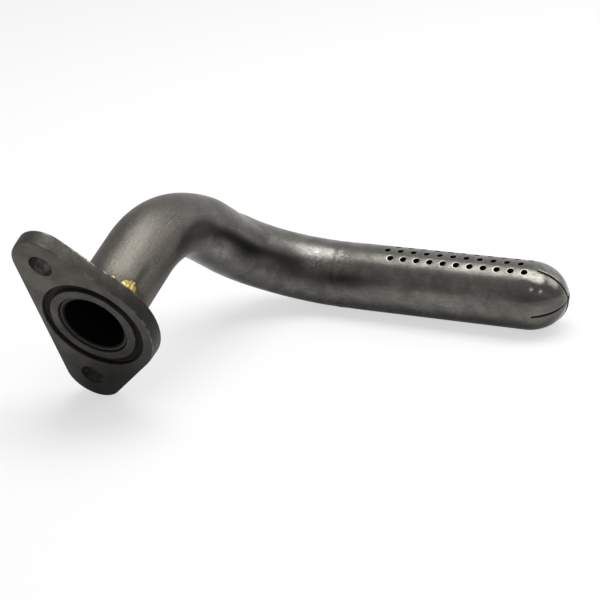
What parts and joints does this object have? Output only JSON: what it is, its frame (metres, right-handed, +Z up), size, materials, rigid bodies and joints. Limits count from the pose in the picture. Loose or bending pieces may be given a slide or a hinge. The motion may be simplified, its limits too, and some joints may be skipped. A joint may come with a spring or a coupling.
{
  "type": "oil pickup tube",
  "caption": "Bent steel oil pickup tube with a drilled, slit and pressed-shut end, brazed into a bolt-on flange with a ring-shaped seal groove.",
  "frame": {"origin": "on the ground, under the middle of the part's box as it lies at rest", "axes": "+Z up; X along the part's longest extent, from the flange towards the drilled end; the seal face looks towards -Y, tilted down by about 21 degrees"},
  "size_m": [0.1518, 0.1336, 0.0711],
  "materials": {
    "tube_steel": "drawn steel, dull grey with an oily sheen, scuffed",
    "flange_steel": "blackened mill finish, matt",
    "braze": "heat-darkened braze with bare golden patches"
  },
  "bodies": {
    "root": {"pickup_tube": "tube_steel", "flange": "flange_steel", "braze_fillet": "braze"}
  },
  "joints": []
}
